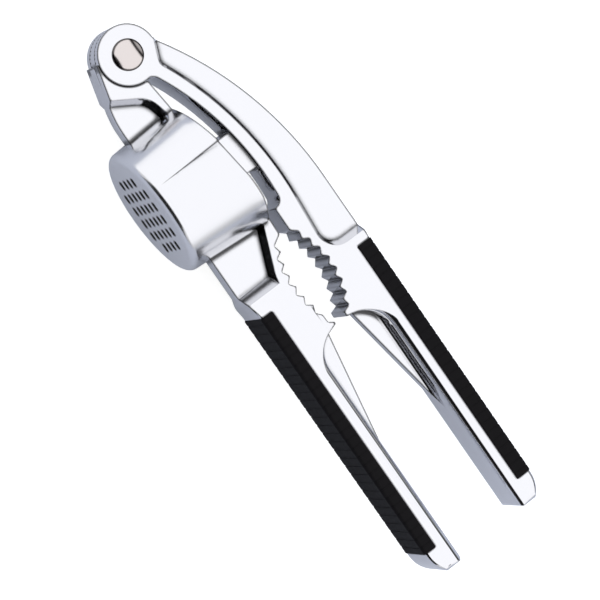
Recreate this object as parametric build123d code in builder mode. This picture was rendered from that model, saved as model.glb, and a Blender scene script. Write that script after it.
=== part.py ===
from build123d import *
from math import asin, atan, cos, pi, radians, sin, sqrt, tan
import os

os.makedirs("parts", exist_ok=True)

# Garlic press with nutcracker jaws, lying on its side with the handles closed.
# The pivot pin runs along Z. +X points from the pivot to the handle ends, +Y to the upper arm.
# Outlines are in pivot coordinates; PIVOT_AT places the pivot centre in the part's own frame,
# whose origin is the middle of the footprint, on the surface that the press lies on.

# ---- Driving dimensions (mm) ----
ARM_HALF = 6.0            # half thickness of the cast arms
JAW_HALF = 6.05           # half thickness at the jaw tips
HANDLE_HALF = 8.65        # half thickness of the handles
WEB_HALF = 2.8            # half thickness of the recessed webs of the lower arm
FIN_HALF = 1.5            # half thickness of the thin fins behind the jaws
WALL_SLOPE = 22           # lean of the recess wall of the lower arm, degrees
POCKET_SLOPE = 28         # lean of the wall of the pocket between the seat and the hopper, degrees
PANEL_SLOPE = 30          # lean of the panel walls of the upper arm, degrees
PANEL_FLOOR = 4.0         # height of the sunken panels of the upper arm
HANDLE_ROUND = 1.3        # rounding of the long outer edges of the handles
EDGE_ROUND = 2.4          # rounding of their long inner edges
FIN_COVE = 1.4            # hollow between a fin and its handle
FLARE_START = 74.9        # the thin arms widen into the handles from here

BOSS_R = 8.85             # round eye of the upper arm
TONGUE_HALF = 2.6         # tongue of the lower arm, between the two ears of the eye
EAR_GAP_HALF = 2.75
SEAT_R = 9.1              # hollow of the lower arm that the eye turns in
SLOT_R = 9.3              # slot of the eye that the tongue turns in
POST_R = 2.55             # pivot rivet: a hollow post and the stud pressed into it
POST_BORE_R = 1.50
POST_BORE_DEPTH = 9.0
STUD_R = 1.49
STUD_LENGTH = 8.0
EAR_BORE_R = 2.56         # the post sits tight in the eye
BORE_R = 2.60             # and turns in the tongue
RIVET_HEAD_R = 4.6
RIVET_HEAD_H = 1.7
RIVET_RIM = 0.4

HOPPER_X = 40.6           # axis of the garlic hopper, parallel to Y
HOPPER_BOTTOM = -19.9
HOPPER_FLOOR = -17.4
HOPPER_R = 19.7           # outer radius at the bottom
HOPPER_BORE_R = 16.4      # inner radius at the floor
DRAFT = tan(radians(3.9))
FACET_Z = 20.05           # shallow flat on each broad side of the hopper, height on its axis at Y = 0
FACET_LEAN_X = 0.047      # its rise along X and Y
FACET_LEAN_Y = 0.0574
CHEEK_LOW = -16.8         # the raised cheek on the pivot side of each flat starts here
CHEEK_DRAFT = tan(radians(6.0))
CHEEK_EDGE = 7.43         # distance of its edge from the hopper axis at Y = 0
CHEEK_LEAN = 0.0486       # how far the edge leans away from the axis
CHEEK_FADE = 0.15         # its foot ends this far outside the flat
CHEEK_LIP = 0.5           # from the edge a steep lip of this height
LIP_SLOPE = 65
CHEEK_FALL = 17           # and then a gentle slope lead down to the flat, degrees
FACET_FADE = -11.0        # the flat curves out from here
FACET_LOW = -17.75        # and ends above the rounded bottom edge
RIM_Y = 4.3               # rim height on the hopper axis
RIM_SLOPE = 0.125         # the rim rises towards the handles
RIM_TOP = 5.9             # up to this height

SLOT_X = 2.65
SLOT_Z = 2.0
SLOT_PITCH_X = 4.27
SLOT_PITCH_Z = 4.15

LOWER_OUT = -12.65        # outer and inner side of each handle
LOWER_IN = -3.8
UPPER_OUT = 27.5
UPPER_IN = 18.97
LOWER_END = 172.6
UPPER_END = 171.7
END_CURVE_X = 7.0         # curve that takes off the outer corner of each handle end
END_CURVE_Y = 3.2
LOWER_THROAT_X = 105.8    # each jaw runs into its handle through a hollow arc
LOWER_THROAT_R = 9.15
UPPER_THROAT_X = 106.3
UPPER_THROAT_R = 9.7
THROAT_ARC = 70           # the rounded edge follows the throat this far, degrees
LOWER_FIN_END = 139.2     # the thin fins fade out here
UPPER_FIN_END = 136.3

GRIP_START = 82.1
LOWER_GRIP_END = 164.5
UPPER_GRIP_END = 163.8
LOWER_WRAP = 4.0          # how far each strip reaches onto the side faces
UPPER_WRAP = 4.9
GRIP_PROUD = 0.2
GRIP_THICK = 1.6
GRIP_ROUND = 1.1
RIDGE_PITCH = 2.9
RIDGE_GROOVE = 0.5
RIDGE_DEPTH = 0.1

LOWER_JAW_EDGE = 2.8      # the faces fall evenly from each grip strip to the jaw height here
UPPER_JAW_EDGE = 12.3
TOOTH_DEPTH = 1.6
LOWER_JAW = Vector(80.55, 26.88)     # centre and valley radius of each toothed hollow
LOWER_JAW_R = 26.65
UPPER_JAW = Vector(81.27, -12.3)
UPPER_JAW_R = 27.2

PLUNGER_R = 15.7
PLUNGER_THICK = 3.0
PLUNGER_GAP = 0.6         # plate to hopper floor when closed
LUG_HALF = 6.3            # stem of the upper arm that carries the plunger
STEM_HALF = 5.0           # half thickness of the stem
LUG_CLEAR = 0.45
PIN_R = 2.0
PIN_BORE_R = 2.05         # the stem turns on the pin
PIN_HOLD_R = 2.01         # the plunger's lugs hold it
PIN_HALF = 7.9
EAR_CLEAR = 0.3           # stem to each lug of the plunger
EAR_THICK = 2.4
EAR_R = 4.6
EAR_FOOT = 6.5

GRIP_CORE_HALF = HANDLE_HALF + GRIP_PROUD - GRIP_THICK
PLATE_TOP = HOPPER_FLOOR + PLUNGER_GAP + PLUNGER_THICK
PIN_Y = PLATE_TOP + LUG_CLEAR + LUG_HALF
ARCH_TOP = 28.0           # highest point of the upper arm

LOWER_LIP = LOWER_OUT + LOWER_WRAP - GRIP_PROUD
UPPER_LIP = UPPER_OUT - UPPER_WRAP + GRIP_PROUD
LOWER_FALL = (HANDLE_HALF - JAW_HALF) / (LOWER_JAW_EDGE - LOWER_LIP)
UPPER_FALL = (HANDLE_HALF - JAW_HALF) / (UPPER_LIP - UPPER_JAW_EDGE)
FACET_LOW_Z = HOPPER_R + (FACET_LOW - HOPPER_BOTTOM) * DRAFT
END_CURVE_R = (END_CURVE_X ** 2 + END_CURVE_Y ** 2) / (2 * END_CURVE_Y)

# The cheeks reach furthest out along Z, at the top of their edge, and the press lies on one of them.
CHEEK_R = HOPPER_R + (CHEEK_LOW - HOPPER_BOTTOM) * DRAFT
CHEEK_TOP_Y = RIM_Y - CHEEK_EDGE * RIM_SLOPE
CHEEK_TOP_X = CHEEK_EDGE + CHEEK_TOP_Y * CHEEK_LEAN
CHEEK_TOP_Z = sqrt((CHEEK_R + (CHEEK_TOP_Y - CHEEK_LOW) * CHEEK_DRAFT) ** 2 - CHEEK_TOP_X ** 2)
PIVOT_AT = Vector((BOSS_R - LOWER_END) / 2, -(ARCH_TOP + HOPPER_BOTTOM) / 2, CHEEK_TOP_Z)

# ---- Planes through the pivot ----
front = Plane(origin=PIVOT_AT)                                        # x, y = X, Y
side = Plane(origin=PIVOT_AT, x_dir=(1, 0, 0), z_dir=(0, -1, 0))      # x, y = X, Z
section = Plane(origin=PIVOT_AT, x_dir=(0, 1, 0), z_dir=(1, 0, 0))    # x, y = Y, Z
hopper_axis = Axis(PIVOT_AT + Vector(HOPPER_X, 0, 0), (0, 1, 0))
pivot_axis = Axis(PIVOT_AT, (0, 0, 1))


def rim_y(x):
    """Height of the sloping hopper rim at x."""
    return RIM_Y + (x - HOPPER_X) * RIM_SLOPE


def teeth(centre, valley_r, first, last, count, sign):
    """Zigzag of count valleys on a circle, from angle first to last in degrees off the Y axis."""
    step = (last - first) / (count - 1)
    points = []
    for i in range(2 * count - 1):
        angle = radians(first + i * step / 2)
        r = valley_r if i % 2 == 0 else valley_r - TOOTH_DEPTH
        points.append((centre.X + r * sin(angle), centre.Y + sign * r * cos(angle)))
    return points


def on_circle(centre, radius, angle):
    """Point on a circle, angle in degrees from the X axis."""
    return (centre[0] + radius * cos(radians(angle)), centre[1] + radius * sin(radians(angle)))


def mirrored(points):
    """The points, then the same points with y turned over, in the order that closes a loop."""
    return points + [(x, -y) for x, y in reversed(points)]


def end_curve(outer, inward, end):
    """Start, middle and end of the arc at the outer corner of a handle end."""
    middle = END_CURVE_R * (1 - cos(asin(END_CURVE_X / 2 / END_CURVE_R)))
    return [(end - END_CURVE_X, outer), (end - END_CURVE_X / 2, outer + inward * middle),
            (end, outer + inward * END_CURVE_Y)]


def side_profile(x_start, flare_start, flare_end, x_end):
    """Thickness of an arm along X: thin arm, flare, thick handle with rounded end."""
    return mirrored([(x_start, ARM_HALF), (flare_start, ARM_HALF),
                     (flare_end, HANDLE_HALF), (x_end, HANDLE_HALF)])


def inner_edge_tool(inner, inward, fall, lip, throat_x, throat_r, end):
    """Rounds the inner edge of a handle and its throat, on the +Z side.

    inward is +1 or -1 along Y, from the handle to the gap. fall is the slope of the face from lip.
    """
    lean = atan(fall)
    edge_z = HANDLE_HALF - fall * abs(inner - lip)
    centre = (inner - inward * EDGE_ROUND, edge_z + fall * EDGE_ROUND - EDGE_ROUND / cos(lean))
    middle = (pi / 2 - lean) / 2
    face_y = centre[0] + inward * EDGE_ROUND * sin(lean)
    with BuildPart() as tool:
        with BuildSketch(section.offset(throat_x)) as corner:
            with BuildLine():
                ThreePointArc((inner, centre[1]),
                              (centre[0] + inward * EDGE_ROUND * cos(middle), centre[1] + EDGE_ROUND * sin(middle)),
                              (face_y, centre[1] + EDGE_ROUND * cos(lean)))
                Polyline((face_y, centre[1] + EDGE_ROUND * cos(lean)), (face_y, HANDLE_HALF + 1),
                         (inner + inward, HANDLE_HALF + 1), (inner + inward, centre[1] - 0.5),
                         (inner, centre[1] - 0.5), (inner, centre[1]))
            make_face()
        extrude(corner.sketch, amount=end - throat_x + 5)
        throat = Axis(PIVOT_AT + Vector(throat_x, inner + inward * throat_r, 0), (0, 0, -inward))
        revolve(corner.sketch, axis=throat, revolution_arc=THROAT_ARC)
    return tool.part


def outer_edge_tool(outer, inward, end):
    """Rounds the long outer edge of a handle and the curve at its end, on the +Z side."""
    curve_x = end - END_CURVE_X
    with BuildPart() as tool:
        with BuildSketch(section.offset(curve_x)) as corner:
            with Locations((outer - inward * (1 - HANDLE_ROUND) / 2, HANDLE_HALF + (1 - HANDLE_ROUND) / 2)):
                Rectangle(HANDLE_ROUND + 1, HANDLE_ROUND + 1)
            with Locations((outer + inward * HANDLE_ROUND, HANDLE_HALF - HANDLE_ROUND)):
                Circle(HANDLE_ROUND, mode=Mode.SUBTRACT)
        extrude(corner.sketch, amount=FLARE_START - curve_x)
        curve = Axis(PIVOT_AT + Vector(curve_x, outer + inward * END_CURVE_R, 0), (0, 0, inward))
        revolve(corner.sketch, axis=curve, revolution_arc=60)
    return tool.part


def fin(points, inner, inward):
    """Thin web between a jaw and its handle, hollowed into the handle."""
    with BuildPart() as web:
        with BuildSketch(front):
            with BuildLine():
                Polyline(*points, close=True)
            make_face()
        extrude(amount=FIN_HALF + FIN_COVE, both=True)
        with BuildSketch(section.offset(95)):
            with Locations((inner, 0)):
                Rectangle(60, 2 * FIN_HALF)
            with Locations((inner + inward * (FIN_COVE - 3) / 2, 0)):
                Rectangle(FIN_COVE + 3, 2 * (FIN_HALF + FIN_COVE))
            with Locations((inner + inward * FIN_COVE, FIN_HALF + FIN_COVE),
                           (inner + inward * FIN_COVE, -FIN_HALF - FIN_COVE)):
                Circle(FIN_COVE, mode=Mode.SUBTRACT)
        extrude(amount=50, mode=Mode.INTERSECT)
    return web.part


def grip_outline(outer, inward, wrap, inset):
    """Corners of a grip strip's section (Y, Z), with its skin set in by inset."""
    lip = outer + inward * (wrap - GRIP_PROUD)
    skin = outer - inward * (GRIP_PROUD - inset)
    return mirrored([(lip, HANDLE_HALF + GRIP_PROUD - inset), (skin, HANDLE_HALF + GRIP_PROUD - inset)])


def grip_bed(outer, inward, wrap, end):
    """Step all round the back of a handle that its grip strip fills."""
    with BuildPart() as bed:
        with BuildSketch(section.offset(GRIP_START)):
            with Locations((outer + inward * (wrap - GRIP_PROUD - 10), 0)):
                Rectangle(20, 40)
            with Locations((outer + inward * (GRIP_THICK - GRIP_PROUD + 10), 0)):
                Rectangle(20, 2 * GRIP_CORE_HALF, mode=Mode.SUBTRACT)
        extrude(amount=end - GRIP_START)
    return bed.part


def grip_strip(outer, inward, wrap, end):
    """Soft strip round the back of a handle, with shallow ridges across it."""
    radii = [0.3, GRIP_ROUND, GRIP_ROUND, 0.3]
    with BuildPart() as groove:
        with BuildSketch(section.offset(GRIP_START)):
            with Locations((outer, 0)):
                Rectangle(20, 40)
            with BuildLine():
                FilletPolyline(*grip_outline(outer, inward, wrap, RIDGE_DEPTH), radius=radii, close=True)
            make_face(mode=Mode.SUBTRACT)
        extrude(amount=RIDGE_GROOVE)
    with BuildPart() as strip:
        with BuildSketch(section.offset(GRIP_START)):
            with BuildLine():
                FilletPolyline(*grip_outline(outer, inward, wrap, 0), radius=radii, close=True)
            make_face()
            with Locations((outer + inward * (GRIP_THICK - GRIP_PROUD + 10), 0)):
                Rectangle(20, 2 * GRIP_CORE_HALF, mode=Mode.SUBTRACT)
        extrude(amount=end - GRIP_START)
        count = int((end - GRIP_START) / RIDGE_PITCH)
        with Locations(*[(RIDGE_PITCH * (i + 0.5), 0, 0) for i in range(count)]):
            add(groove.part, mode=Mode.SUBTRACT)
    return strip.part


# ---- Lower arm: tongue, hopper, lower jaw and lower handle in one casting ----
with BuildPart() as lower_recess:
    with BuildSketch(front.offset(WEB_HALF)):
        with BuildLine():
            FilletPolyline((56.9, 4.68), (88.7, -8.3), (88.7, -20), (56.9, -20), radius=0.5, close=True)
        make_face()
    extrude(amount=8, taper=-WALL_SLOPE)
    with BuildSketch(side.offset(-20)):
        with BuildLine():
            Polyline((50, WEB_HALF), (74.1, WEB_HALF), (79.1, 9.2), (79.1, 12), (50, 12), close=True)
        make_face()
    extrude(amount=60, mode=Mode.INTERSECT)

with BuildPart() as lower_pocket:
    with BuildSketch(front.offset(WEB_HALF)):
        with BuildLine():
            FilletPolyline((7.3, -15.7), (14.3, -3.4), (27.4, 0.1), (27.4, -15.7),
                           radius=[0.5, 6.0, 0.5, 0.5], close=True)
        make_face()
    extrude(amount=8, taper=-POCKET_SLOPE)

with BuildPart() as cheek:
    with BuildSketch(front):
        with BuildLine():
            Polyline((HOPPER_X, CHEEK_LOW), (HOPPER_X + CHEEK_R, CHEEK_LOW),
                     (HOPPER_X + CHEEK_R + (12 - CHEEK_LOW) * CHEEK_DRAFT, 12), (HOPPER_X, 12), close=True)
        make_face()
    revolve(axis=hopper_axis)
    with BuildSketch(front):
        with BuildLine():
            FilletPolyline((23.8, -18), (21.3, -1.9), (17.2, -0.6), (17.2, 12), (HOPPER_X - 5.5, 12),
                           (HOPPER_X - 5.5, -18), radius=[0.1, 1.0, 0.1, 0.1, 0.1, 0.1], close=True)
        make_face()
    extrude(amount=30, mode=Mode.INTERSECT)
    edge_x = CHEEK_EDGE + CHEEK_LOW * CHEEK_LEAN + CHEEK_FADE
    edge_foot = Vector(-edge_x, CHEEK_LOW, sqrt(CHEEK_R ** 2 - edge_x ** 2))
    edge_top = Vector(-CHEEK_TOP_X, CHEEK_TOP_Y, CHEEK_TOP_Z)
    lip_x = CHEEK_LIP / tan(radians(LIP_SLOPE))
    with BuildSketch(Plane(origin=PIVOT_AT + Vector(HOPPER_X, 0, 0) + edge_foot, x_dir=(1, 0, 0),
                           z_dir=edge_top - edge_foot)):
        with BuildLine():
            Polyline((-20 * lip_x / CHEEK_LIP, -20), (lip_x, CHEEK_LIP),
                     (15, CHEEK_LIP + (15 - lip_x) * tan(radians(CHEEK_FALL))), (15, -20), close=True)
        make_face()
    extrude(amount=30, both=True, mode=Mode.SUBTRACT)

with BuildPart() as hopper:
    with BuildSketch(front):
        with BuildLine():
            Polyline((HOPPER_X, HOPPER_BOTTOM), (HOPPER_X + HOPPER_R, HOPPER_BOTTOM),
                     (HOPPER_X + HOPPER_R + (12 - HOPPER_BOTTOM) * DRAFT, 12), (HOPPER_X, 12), close=True)
        make_face()
        fillet(vertices().group_by(Axis.Y)[0].sort_by(Axis.X)[-1], radius=2.0)
    revolve(axis=hopper_axis)
    with BuildSketch(Plane(origin=PIVOT_AT + Vector(HOPPER_X, 0, 0), x_dir=(0, 1, 0), z_dir=(1, 0, FACET_LEAN_X))):
        with BuildLine():
            fade = (FACET_FADE, FACET_Z + FACET_FADE * FACET_LEAN_Y)
            TangentArc(fade, (FACET_LOW, FACET_LOW_Z), tangent=(-1, -FACET_LEAN_Y))
            Polyline((FACET_LOW, FACET_LOW_Z), (FACET_LOW, 30), (15, 30), (15, FACET_Z + 15 * FACET_LEAN_Y), fade)
        make_face()
    facet = extrude(amount=20, both=True, mode=Mode.SUBTRACT)
    mirror(facet, about=front, mode=Mode.SUBTRACT)
    add(cheek.part)
    mirror(cheek.part, about=front)
    with BuildSketch(front.offset(-40)):
        with BuildLine():
            Polyline((14, rim_y(14)), (HOPPER_X + (RIM_TOP - RIM_Y) / RIM_SLOPE, RIM_TOP), (68, RIM_TOP),
                     (68, 20), (14, 20), close=True)
        make_face()
    extrude(amount=80, mode=Mode.SUBTRACT)

with BuildPart() as lower_arm:
    # side outline, at handle thickness
    with BuildSketch(front):
        with BuildLine():
            seat_top = on_circle((0, 0), SEAT_R, 3)
            seat_end = on_circle((0, 0), SEAT_R, -105)
            ThreePointArc(seat_top, on_circle((0, 0), SEAT_R, -50), seat_end)
            FilletPolyline(seat_end, (-2.7, -9.2), (13.5, -13.4), (74.9, -13.5), (80.8, LOWER_OUT),
                           (LOWER_END - END_CURVE_X, LOWER_OUT), radius=[0.2, 30, 20, 20])
            ThreePointArc(*end_curve(LOWER_OUT, 1, LOWER_END))
            FilletPolyline((LOWER_END, LOWER_OUT + END_CURVE_Y), (LOWER_END, LOWER_IN),
                           (LOWER_THROAT_X, LOWER_IN), radius=2.0)
            throat = (LOWER_THROAT_X, LOWER_IN + LOWER_THROAT_R)
            tip_right = on_circle(throat, LOWER_THROAT_R, 196)
            ThreePointArc((LOWER_THROAT_X, LOWER_IN), on_circle(throat, LOWER_THROAT_R, 230), tip_right)
            jaw = teeth(LOWER_JAW, LOWER_JAW_R, 21.4, -28.1, 7, -1)
            jaw_line = [tip_right, (96.25, 5.2), (95.5, 5.2), (94.5, 3.65), (91.9, 3.55)]
            jaw_line += jaw + [(66.1, 6.6), (59.3, 6.8), (59.3, RIM_TOP), seat_top]
            FilletPolyline(*jaw_line, radius=[0.3, 0.3, 0.5] + [0.3] * (len(jaw) + 1) + [0.4, 0.1, 0.1])
        make_face()
    extrude(amount=HANDLE_HALF, both=True)
    # thickness along X, then across Y
    with BuildSketch(side.offset(-60)):
        with BuildLine():
            FilletPolyline(*side_profile(-15, FLARE_START, 82.3, LOWER_END),
                           radius=[0.1, 8, 8, 2.0, 2.0, 8, 8, 0.1], close=True)
        make_face()
    extrude(amount=120, mode=Mode.INTERSECT)
    with BuildSketch(section.offset(-20)):
        with BuildLine():
            FilletPolyline(*mirrored([(-30, HANDLE_HALF), (LOWER_LIP, HANDLE_HALF), (LOWER_JAW_EDGE, JAW_HALF),
                                      (12, JAW_HALF)]),
                           radius=[0.1, 4, 8, 0.1, 0.1, 8, 4, 0.1], close=True)
        make_face()
    extrude(amount=220, mode=Mode.INTERSECT)
    # recesses and handle edges, on both sides
    for tool in (lower_recess.part, lower_pocket.part,
                 inner_edge_tool(LOWER_IN, 1, LOWER_FALL, LOWER_LIP, LOWER_THROAT_X, LOWER_THROAT_R, LOWER_END),
                 outer_edge_tool(LOWER_OUT, 1, LOWER_END)):
        add(tool, mode=Mode.SUBTRACT)
        mirror(tool, about=front, mode=Mode.SUBTRACT)
    add(grip_bed(LOWER_OUT, 1, LOWER_WRAP, LOWER_GRIP_END), mode=Mode.SUBTRACT)
    add(fin([(96.8, 3.3), (LOWER_FIN_END, LOWER_IN - 0.1), (LOWER_FIN_END, -7), (96.8, -3)], LOWER_IN - 0.1, 1))
    # tongue
    with BuildSketch(front):
        Circle(BOSS_R)
        with BuildLine():
            Polyline((0, 0), (9.8, 0.5), (9.8, -12.3), (3.0, -10.7), (-2.2, -9.4), close=True)
        make_face()
    extrude(amount=TONGUE_HALF, both=True)
    # hopper
    add(hopper.part)
    with BuildSketch(front):
        with BuildLine():
            Polyline((HOPPER_X, HOPPER_FLOOR), (HOPPER_X + HOPPER_BORE_R, HOPPER_FLOOR),
                     (HOPPER_X + HOPPER_BORE_R + (14 - HOPPER_FLOOR) * DRAFT, 14), (HOPPER_X, 14), close=True)
        make_face()
    revolve(axis=hopper_axis, mode=Mode.SUBTRACT)
    # sieve slots and pivot bore
    with BuildSketch(side.offset(-HOPPER_FLOOR - 1)):
        with Locations((HOPPER_X, 0)):
            with GridLocations(SLOT_PITCH_X, SLOT_PITCH_Z, 4, 6):
                RectangleRounded(SLOT_X, SLOT_Z, 0.5)
            with GridLocations(5 * SLOT_PITCH_X, SLOT_PITCH_Z, 2, 4):
                RectangleRounded(SLOT_X, SLOT_Z, 0.5)
    extrude(amount=6, mode=Mode.SUBTRACT)
    with BuildSketch(front):
        Circle(BORE_R)
    extrude(amount=10, both=True, mode=Mode.SUBTRACT)


# ---- Upper arm: eye, arch with the plunger stem, upper jaw and upper handle in one casting ----
with BuildPart() as upper_panel:
    with BuildSketch(front.offset(PANEL_FLOOR)):
        with BuildLine():
            band = (52.7, -82.85)
            FilletPolyline((60.7, 17.83), (77.4, 16.5), (77.4, 40), (-6.2, 40), (-6.2, 13.0), (7.2, 7.3),
                           (9.0, 8.2), radius=[4.5, 0.5, 0.5, 0.5, 1.5])
            ThreePointArc((9.0, 8.2), on_circle(band, 101.0, 100), (60.7, 17.83))
        make_face()
    extrude(amount=8, taper=-PANEL_SLOPE)

with BuildPart() as upper_arm:
    # side outline, at handle thickness
    with BuildSketch(front):
        Circle(BOSS_R)
        with BuildLine():
            ThreePointArc((-0.25, 8.7), (29.05, 23.2), (60.6, ARCH_TOP))
            FilletPolyline((60.6, ARCH_TOP), (76.6, ARCH_TOP), (82.6, UPPER_OUT),
                           (UPPER_END - END_CURVE_X, UPPER_OUT), radius=[20, 20])
            ThreePointArc(*end_curve(UPPER_OUT, -1, UPPER_END))
            FilletPolyline((UPPER_END, UPPER_OUT - END_CURVE_Y), (UPPER_END, UPPER_IN),
                           (UPPER_THROAT_X, UPPER_IN), radius=2.0)
            throat = (UPPER_THROAT_X, UPPER_IN - UPPER_THROAT_R)
            tip_right = on_circle(throat, UPPER_THROAT_R, 179)
            ThreePointArc((UPPER_THROAT_X, UPPER_IN), on_circle(throat, UPPER_THROAT_R, 130), tip_right)
            jaw = teeth(UPPER_JAW, UPPER_JAW_R, 28.1, -27.6, 8, 1)
            jaw_line = [tip_right, (96.35, 9.15), (94.85, 9.25)] + jaw
            jaw_line += [(66.95, 9.7), (59.4, 9.75), (59.25, 12.66), (55.3, 12.9)]
            FilletPolyline(*jaw_line, radius=[0.3] * (len(jaw) + 4) + [2.6])
            ThreePointArc((55.3, 12.9), on_circle((49.7, -72.6), 85.67, 102), (9.7, 3.15))
            Polyline((9.7, 3.15), (8.6, 1.6), (5, 0), (-0.25, 8.7))
        make_face()
    extrude(amount=HANDLE_HALF, both=True)
    # thickness along X, then across Y
    with BuildSketch(side.offset(-60)):
        with BuildLine():
            FilletPolyline(*side_profile(-15, FLARE_START + 0.9, 83.2, UPPER_END),
                           radius=[0.1, 8, 8, 2.0, 2.0, 8, 8, 0.1], close=True)
        make_face()
    extrude(amount=120, mode=Mode.INTERSECT)
    with BuildSketch(section.offset(-20)):
        with BuildLine():
            FilletPolyline(*mirrored([(-12, JAW_HALF), (UPPER_JAW_EDGE, JAW_HALF), (UPPER_LIP, HANDLE_HALF),
                                      (40, HANDLE_HALF)]),
                           radius=[0.1, 8, 4, 0.1, 0.1, 4, 8, 0.1], close=True)
        make_face()
    extrude(amount=220, mode=Mode.INTERSECT)
    # sunken panels and handle edges, on both sides
    for tool in (upper_panel.part,
                 inner_edge_tool(UPPER_IN, -1, UPPER_FALL, UPPER_LIP, UPPER_THROAT_X, UPPER_THROAT_R, UPPER_END),
                 outer_edge_tool(UPPER_OUT, -1, UPPER_END)):
        add(tool, mode=Mode.SUBTRACT)
        mirror(tool, about=front, mode=Mode.SUBTRACT)
    add(grip_bed(UPPER_OUT, -1, UPPER_WRAP, UPPER_GRIP_END), mode=Mode.SUBTRACT)
    add(fin([(96.6, 12.0), (UPPER_FIN_END, UPPER_IN + 0.1), (UPPER_FIN_END, 22), (102.8, 22), (96.6, 15)],
            UPPER_IN + 0.1, -1))
    # stem for the plunger
    with BuildSketch(front):
        with Locations((HOPPER_X, (14 + PIN_Y) / 2)):
            Rectangle(2 * LUG_HALF, 14 - PIN_Y)
        with Locations((HOPPER_X, PIN_Y)):
            Circle(LUG_HALF)
    extrude(amount=STEM_HALF, both=True)
    with BuildSketch(front):
        with Locations((HOPPER_X, PIN_Y)):
            Circle(PIN_BORE_R)
    extrude(amount=STEM_HALF, both=True, mode=Mode.SUBTRACT)
    # slot for the tongue, and pivot bore
    with BuildSketch(front):
        Circle(SLOT_R)
    extrude(amount=EAR_GAP_HALF, both=True, mode=Mode.SUBTRACT)
    with BuildSketch(front):
        Circle(EAR_BORE_R)
    extrude(amount=ARM_HALF, both=True, mode=Mode.SUBTRACT)


# ---- Plunger: round plate with two lugs, hung on its pin ----
with BuildPart() as plunger:
    with BuildSketch(front):
        with Locations((HOPPER_X + PLUNGER_R / 2, PLATE_TOP - PLUNGER_THICK / 2)):
            Rectangle(PLUNGER_R, PLUNGER_THICK)
        chamfer(vertices().group_by(Axis.X)[-1], length=0.5)
    revolve(axis=hopper_axis)
    with BuildSketch(front.offset(STEM_HALF + EAR_CLEAR)):
        with BuildLine():
            Line((HOPPER_X - EAR_FOOT, PLATE_TOP - 0.5), (HOPPER_X + EAR_FOOT, PLATE_TOP - 0.5))
        with Locations((HOPPER_X, PIN_Y)):
            Circle(EAR_R)
        make_hull()
        with Locations((HOPPER_X, PIN_Y)):
            Circle(PIN_HOLD_R, mode=Mode.SUBTRACT)
    lug = extrude(amount=EAR_THICK)
    mirror(lug, about=front)

with BuildPart() as plunger_pin:
    with BuildSketch(front.offset(-PIN_HALF)):
        with Locations((HOPPER_X, PIN_Y)):
            Circle(PIN_R)
    extrude(amount=2 * PIN_HALF)
    chamfer(edges().filter_by(GeomType.CIRCLE), length=0.3)


# ---- Pivot rivet: hollow post from the front, stud from the back ----
with BuildPart() as rivet_post:
    with BuildSketch(side):
        with BuildLine():
            TangentArc((0, ARM_HALF + RIVET_HEAD_H), (RIVET_HEAD_R, ARM_HALF + RIVET_RIM), tangent=(1, 0))
            Polyline((RIVET_HEAD_R, ARM_HALF + RIVET_RIM), (RIVET_HEAD_R, ARM_HALF), (POST_R, ARM_HALF),
                     (POST_R, -ARM_HALF), (POST_BORE_R, -ARM_HALF), (POST_BORE_R, POST_BORE_DEPTH - ARM_HALF),
                     (0, POST_BORE_DEPTH - ARM_HALF), (0, ARM_HALF + RIVET_HEAD_H))
        make_face()
    revolve(axis=pivot_axis)

with BuildPart() as rivet_stud:
    with BuildSketch(side):
        with BuildLine():
            TangentArc((0, -ARM_HALF - RIVET_HEAD_H), (RIVET_HEAD_R, -ARM_HALF - RIVET_RIM), tangent=(1, 0))
            Polyline((RIVET_HEAD_R, -ARM_HALF - RIVET_RIM), (RIVET_HEAD_R, -ARM_HALF), (STUD_R, -ARM_HALF),
                     (STUD_R, STUD_LENGTH - ARM_HALF), (0, STUD_LENGTH - ARM_HALF),
                     (0, -ARM_HALF - RIVET_HEAD_H))
        make_face()
    revolve(axis=pivot_axis)


# ---- Grip strips ----
with BuildPart() as lower_grip:
    add(grip_strip(LOWER_OUT, 1, LOWER_WRAP, LOWER_GRIP_END))

with BuildPart() as upper_grip:
    add(grip_strip(UPPER_OUT, -1, UPPER_WRAP, UPPER_GRIP_END))


# ---- Names and files ----
lower_arm.part.label = "lower_arm"
upper_arm.part.label = "upper_arm"
plunger.part.label = "plunger"
plunger_pin.part.label = "plunger_pin"
rivet_post.part.label = "rivet_post"
rivet_stud.part.label = "rivet_stud"
lower_grip.part.label = "lower_grip"
upper_grip.part.label = "upper_grip"

export_step(lower_arm.part, "parts/lower_arm.step")
export_step(upper_arm.part, "parts/upper_arm.step")
export_step(plunger.part, "parts/plunger.step")
export_step(plunger_pin.part, "parts/plunger_pin.step")
export_step(rivet_post.part, "parts/rivet_post.step")
export_step(rivet_stud.part, "parts/rivet_stud.step")
export_step(lower_grip.part, "parts/lower_grip.step")
export_step(upper_grip.part, "parts/upper_grip.step")
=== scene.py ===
"""Looks of the garlic press: chrome castings, steel rivet, black grip strips, and a small photo studio."""
import math

import bpy
from mathutils import Matrix, Vector


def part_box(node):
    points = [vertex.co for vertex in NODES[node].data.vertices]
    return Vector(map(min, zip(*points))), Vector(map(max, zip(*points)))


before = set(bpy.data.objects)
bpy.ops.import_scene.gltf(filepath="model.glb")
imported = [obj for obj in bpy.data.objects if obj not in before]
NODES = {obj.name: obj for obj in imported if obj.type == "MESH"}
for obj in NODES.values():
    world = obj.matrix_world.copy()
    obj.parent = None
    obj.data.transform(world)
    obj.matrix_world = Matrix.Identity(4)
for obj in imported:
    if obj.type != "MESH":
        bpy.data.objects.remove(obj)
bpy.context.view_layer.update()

MM = 0.001

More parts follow.
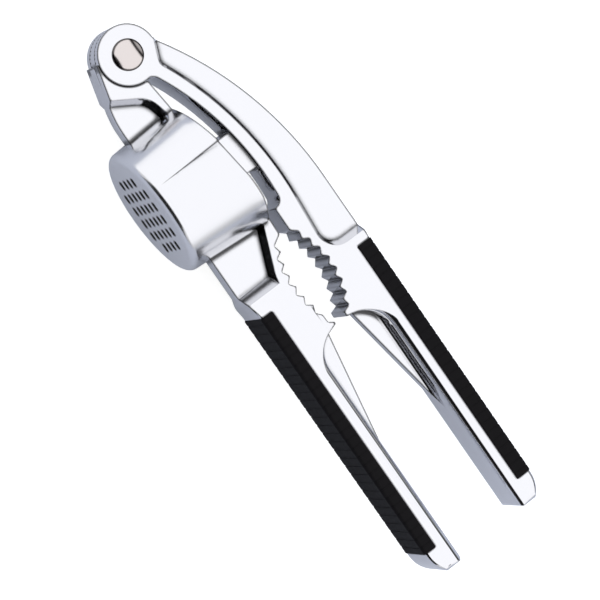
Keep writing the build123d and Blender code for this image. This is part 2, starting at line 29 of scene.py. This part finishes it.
# ---- Places on the object, from the frame ----
POST_LOW, POST_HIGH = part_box("rivet_post")
PIVOT = Vector(((POST_LOW.x + POST_HIGH.x) / 2, (POST_LOW.y + POST_HIGH.y) / 2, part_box("lower_arm")[1].z / 2))
PLATE_LOW, PLATE_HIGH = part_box("plunger")
HOPPER_AXIS = Vector(((PLATE_LOW.x + PLATE_HIGH.x) / 2, 0, PIVOT.z))

# ---- Camera: where it stands from the pivot, where it looks, and how it's rolled ----
CAMERA_AT = Vector((-0.04575, -0.25005, 0.8950))
LOOK_AT = Vector((0.0855, 0.0022, 0.0))
CAMERA_UP = Vector((-0.8138, 0.5795, 0.0440))
FOCAL_PX = 3293.8
FRAME_PX = 600
SENSOR = 36.0

# ---- Light: levels, and where they start and end along the axes of the sky ----
LIT_LEVEL = 1.33
DIM_LEVEL = 0.01
BELT_LEVEL = 0.06         # on the dim parts just above the horizon
BELT = (0.10, 0.34)
SKY_COLOR = (0.985, 0.985, 1.0)
STRIP_FROM = -0.5         # the wide strip overhead, along Y
STRIP_TO = 0.74
STRIP_FADE = 0.04
FAR_END_DIP = 0.55        # the strip is weaker low down beyond the handles
FAR_END = (0.1, 0.5)
FAR_END_LOW = (0.0, 0.3)
END_LEVEL = 0.7           # windows at both ends, on the front side
END_WINDOW = (0.58, 0.68)
BACK_LEVEL = 0.5          # window at the back
BACK_WINDOW = (0.82, 0.9)
BACK_LOW = (0.15, 0.3)

# ---- Floor ----
FLOOR_HALF = 3.0
FLOOR_COLOR = (0.55, 0.585, 0.68)
FLOOR_GLOW = 0.80
FLOOR_GLOW_COLOR = (1.0, 0.985, 0.93)
MIRRORED_GLOW = 0.07      # share of the glow that the metal mirrors

# ---- Plating: softness of its edges, and how far its painted dark lines reach: painted shade from an inner corner, painted dark reflection from a sharp edge ----
EDGE_SOFTNESS = 0.4 * MM
CORNER_REACH = 2.0 * MM
CORNER_OPEN = (0.72, 0.95)
RIM_REACH = 0.8 * MM
RIM_OPEN = (0.6, 0.88)
# share of the plating's colour left in the painted dark lines (painted shade and painted dark reflections)
PAINTED_LINE_SHADE = 0.04
HOPPER_PROUD = (6.3 * MM, 8 * MM)     # the hopper stands out between these distances from the middle plane
HOPPER_REACH = (23 * MM, 26 * MM)     # and ends between these from its axis

# ---- Sockets of the colour Mix node, whose names aren't unique ----
MIX_FACTOR, MIX_A, MIX_B, MIX_RESULT = 0, 6, 7, 2


def add_camera():
    data = bpy.data.cameras.new("camera")
    data.sensor_width = SENSOR
    data.lens = FOCAL_PX / FRAME_PX * SENSOR
    data.clip_start = 0.05
    data.clip_end = 50
    camera = bpy.data.objects.new("camera", data)
    bpy.context.scene.collection.objects.link(camera)
    forward = (LOOK_AT - CAMERA_AT).normalized()
    right = forward.cross(CAMERA_UP).normalized()
    up = right.cross(forward)
    turned = Matrix((right, up, -forward)).transposed().to_4x4()
    camera.matrix_world = Matrix.Translation(PIVOT + CAMERA_AT) @ turned
    bpy.context.scene.camera = camera


# ---- Materials ----
def new_material(name):
    material = bpy.data.materials.new(name)
    material.use_nodes = True
    tree = material.node_tree
    shader = tree.nodes["Principled BSDF"]
    return material, tree, shader


def noise(tree, scale, detail=2.0, rough=0.5):
    """Noise over the object's own coordinates, in metres."""
    place = tree.nodes.new("ShaderNodeTexCoord")
    texture = tree.nodes.new("ShaderNodeTexNoise")
    texture.inputs["Scale"].default_value = scale
    texture.inputs["Detail"].default_value = detail
    texture.inputs["Roughness"].default_value = rough
    tree.links.new(place.outputs["Object"], texture.inputs["Vector"])
    return texture.outputs["Fac"]


def spread(tree, value, low, high):
    """value, from 0 to 1, mapped to low to high."""
    node = tree.nodes.new("ShaderNodeMapRange")
    node.inputs["To Min"].default_value = low
    node.inputs["To Max"].default_value = high
    tree.links.new(value, node.inputs["Value"])
    return node.outputs["Result"]


def between(tree, value, start, end, low=0.0, high=1.0):
    """low up to start, high beyond end, and a soft step from one to the other."""
    node = tree.nodes.new("ShaderNodeMapRange")
    node.interpolation_type = "SMOOTHSTEP"
    node.inputs["From Min"].default_value = start
    node.inputs["From Max"].default_value = end
    node.inputs["To Min"].default_value = low
    node.inputs["To Max"].default_value = high
    tree.links.new(value, node.inputs["Value"])
    return node.outputs["Result"]


def maths(tree, operation, first, second=None):
    node = tree.nodes.new("ShaderNodeMath")
    node.operation = operation
    for socket, value in zip(node.inputs, (first, second)):
        if isinstance(value, (int, float)):
            socket.default_value = value
        elif value is not None:
            tree.links.new(value, socket)
    return node.outputs["Value"]


def bump(tree, shader, height, strength, distance, normal=None):
    node = tree.nodes.new("ShaderNodeBump")
    node.inputs["Strength"].default_value = strength
    node.inputs["Distance"].default_value = distance
    tree.links.new(height, node.inputs["Height"])
    if normal:
        tree.links.new(normal, node.inputs["Normal"])
    tree.links.new(node.outputs["Normal"], shader.inputs["Normal"])


def hopper_wall(tree):
    """1 on the outside of the hopper, which stands proud of the arms on both sides, 0 elsewhere."""
    place = tree.nodes.new("ShaderNodeTexCoord")
    split = tree.nodes.new("ShaderNodeSeparateXYZ")
    tree.links.new(place.outputs["Object"], split.inputs["Vector"])
    along = maths(tree, "ABSOLUTE", maths(tree, "SUBTRACT", split.outputs["X"], HOPPER_AXIS.x))
    out = maths(tree, "ABSOLUTE", maths(tree, "SUBTRACT", split.outputs["Z"], HOPPER_AXIS.z))
    proud = between(tree, out, *HOPPER_PROUD)
    return maths(tree, "MULTIPLY", proud, between(tree, along, *HOPPER_REACH, 1, 0))


def openness(tree, reach, inside):
    """1 on open faces, less within reach of an inner corner, or of a sharp edge where inside is true. Used as
    the mask for painted shade and painted dark reflections.
    """
    node = tree.nodes.new("ShaderNodeAmbientOcclusion")
    node.samples = 12
    node.inside = inside
    node.only_local = True
    node.inputs["Distance"].default_value = reach
    return node.outputs["AO"]


def chrome(name, color, low, high, satin=None):
    """Polished plating: a clear reflection, with faint haze and waviness, and dark lines painted into the base
    colour: painted shade in inner corners and painted dark reflections along sharp edges.
    """
    material, tree, shader = new_material(name)
    # painted shade and painted dark reflections: the base colour darkens near inner corners and near sharp
    # edges
    corners = between(tree, openness(tree, CORNER_REACH, False), *CORNER_OPEN, 0.05, 1)
    painted_edge_reflection = between(tree, openness(tree, RIM_REACH, True), *RIM_OPEN, 0.1, 1)
    painted_line_shade = tree.nodes.new("ShaderNodeMix")
    painted_line_shade.data_type = "RGBA"
    painted_line_shade.inputs[MIX_A].default_value = (*(PAINTED_LINE_SHADE * part for part in color), 1)
    painted_line_shade.inputs[MIX_B].default_value = (*color, 1)
    tree.links.new(maths(tree, "MULTIPLY", corners, painted_edge_reflection), painted_line_shade.inputs[MIX_FACTOR])
    tree.links.new(painted_line_shade.outputs[MIX_RESULT], shader.inputs["Base Color"])
    shader.inputs["Metallic"].default_value = 1.0
    haze = spread(tree, noise(tree, 260, 4), low, high)
    if satin:
        haze = maths(tree, "MAXIMUM", haze, maths(tree, "MULTIPLY", hopper_wall(tree), satin))
    tree.links.new(haze, shader.inputs["Roughness"])
    soft = tree.nodes.new("ShaderNodeBevel")
    soft.samples = 8
    soft.inputs["Radius"].default_value = EDGE_SOFTNESS
    bump(tree, shader, noise(tree, 90, 1), 0.15, 0.02 * MM, soft.outputs["Normal"])
    return material


def rubber(name):
    material, tree, shader = new_material(name)
    shader.inputs["Base Color"].default_value = (0.008, 0.0075, 0.0085, 1)
    shader.inputs["Specular IOR Level"].default_value = 0.05
    tree.links.new(spread(tree, noise(tree, 900, 3), 0.5, 0.66), shader.inputs["Roughness"])
    bump(tree, shader, noise(tree, 2500, 2), 0.4, 0.05 * MM)
    return material


def dress(node, material, width=0.35 * MM, segments=3):
    """Gives a CAD node its material and rounded edges."""
    piece = NODES[node]
    piece.data.materials.clear()
    piece.data.materials.append(material)
    weld = piece.modifiers.new("join", "WELD")
    weld.merge_threshold = 0.002 * MM
    bevel = piece.modifiers.new("soft_edges", "BEVEL")
    bevel.width = width
    bevel.segments = segments
    bevel.limit_method = "ANGLE"
    bevel.angle_limit = math.radians(28)
    bevel.harden_normals = True
    bevel.use_clamp_overlap = True


# ---- Studio ----
def add_world():
    """A wide soft light overhead, with dim sides and dimmer windows at the ends and the back."""
    world = bpy.data.worlds.new("studio")
    bpy.context.scene.world = world
    world.use_nodes = True
    tree = world.node_tree
    place = tree.nodes.new("ShaderNodeTexCoord")
    split = tree.nodes.new("ShaderNodeSeparateXYZ")
    tree.links.new(place.outputs["Generated"], split.inputs["Vector"])
    x, y, z = (split.outputs[axis] for axis in "XYZ")
    strip_start = (STRIP_FROM - STRIP_FADE, STRIP_FROM + STRIP_FADE)
    strip = maths(tree, "MULTIPLY", between(tree, y, *strip_start),
                  between(tree, y, STRIP_TO - STRIP_FADE, STRIP_TO + STRIP_FADE, 1, 0))
    ends = maths(tree, "MULTIPLY", between(tree, maths(tree, "ABSOLUTE", x), *END_WINDOW),
                 between(tree, y, *strip_start, END_LEVEL, 0))
    back = maths(tree, "MULTIPLY", between(tree, y, *BACK_WINDOW, 0, BACK_LEVEL), between(tree, z, *BACK_LOW))
    bright = maths(tree, "MAXIMUM", strip, maths(tree, "MAXIMUM", ends, back))
    dip = maths(tree, "MULTIPLY", between(tree, x, *FAR_END, 0, FAR_END_DIP),
                between(tree, z, *FAR_END_LOW, 1, 0))
    lit = maths(tree, "MULTIPLY", bright, maths(tree, "SUBTRACT", 1, dip))
    dim = between(tree, z, *BELT, BELT_LEVEL, DIM_LEVEL)
    level = maths(tree, "ADD", maths(tree, "MULTIPLY", lit, LIT_LEVEL),
                  maths(tree, "MULTIPLY", maths(tree, "SUBTRACT", 1, lit), dim))
    background = tree.nodes["Background"]
    background.inputs["Color"].default_value = (*SKY_COLOR, 1)
    tree.links.new(level, background.inputs["Strength"])


def add_floor():
    """A pale table top that keeps its shadows. It glows where it's seen, and faintly in the metal."""
    mesh = bpy.data.meshes.new("floor")
    corners = [(-FLOOR_HALF, -FLOOR_HALF, 0), (FLOOR_HALF, -FLOOR_HALF, 0),
               (FLOOR_HALF, FLOOR_HALF, 0), (-FLOOR_HALF, FLOOR_HALF, 0)]
    mesh.from_pydata(corners, [], [(0, 1, 2, 3)])
    floor = bpy.data.objects.new("floor", mesh)
    bpy.context.scene.collection.objects.link(floor)
    material, tree, shader = new_material("floor")
    shader.inputs["Base Color"].default_value = (*FLOOR_COLOR, 1)
    shader.inputs["Roughness"].default_value = 0.9
    shader.inputs["Specular IOR Level"].default_value = 0.0
    light_path = tree.nodes.new("ShaderNodeLightPath")
    mirrored = maths(tree, "MULTIPLY", light_path.outputs["Is Glossy Ray"], MIRRORED_GLOW)
    seen = maths(tree, "MAXIMUM", light_path.outputs["Is Camera Ray"],
                 maths(tree, "MAXIMUM", mirrored, light_path.outputs["Is Transmission Ray"]))
    shader.inputs["Emission Color"].default_value = (*FLOOR_GLOW_COLOR, 1)
    tree.links.new(maths(tree, "MULTIPLY", seen, FLOOR_GLOW), shader.inputs["Emission Strength"])
    mesh.materials.append(material)


add_camera()
add_world()
add_floor()

CASTING = chrome("casting", (0.72, 0.725, 0.75), 0.03, 0.08, satin=0.2)
STEEL = chrome("rivet_steel", (0.62, 0.575, 0.56), 0.08, 0.16)
RUBBER = rubber("grip")
for node in ("lower_arm", "upper_arm"):
    dress(node, CASTING)
dress("plunger", CASTING)
dress("plunger_pin", STEEL, 0.1 * MM)
dress("rivet_post", STEEL, 0.15 * MM)
dress("rivet_stud", STEEL, 0.15 * MM)
dress("lower_grip", RUBBER, 0.12 * MM, 2)
dress("upper_grip", RUBBER, 0.12 * MM, 2)

view = bpy.context.scene.view_settings
view.view_transform = "Standard"
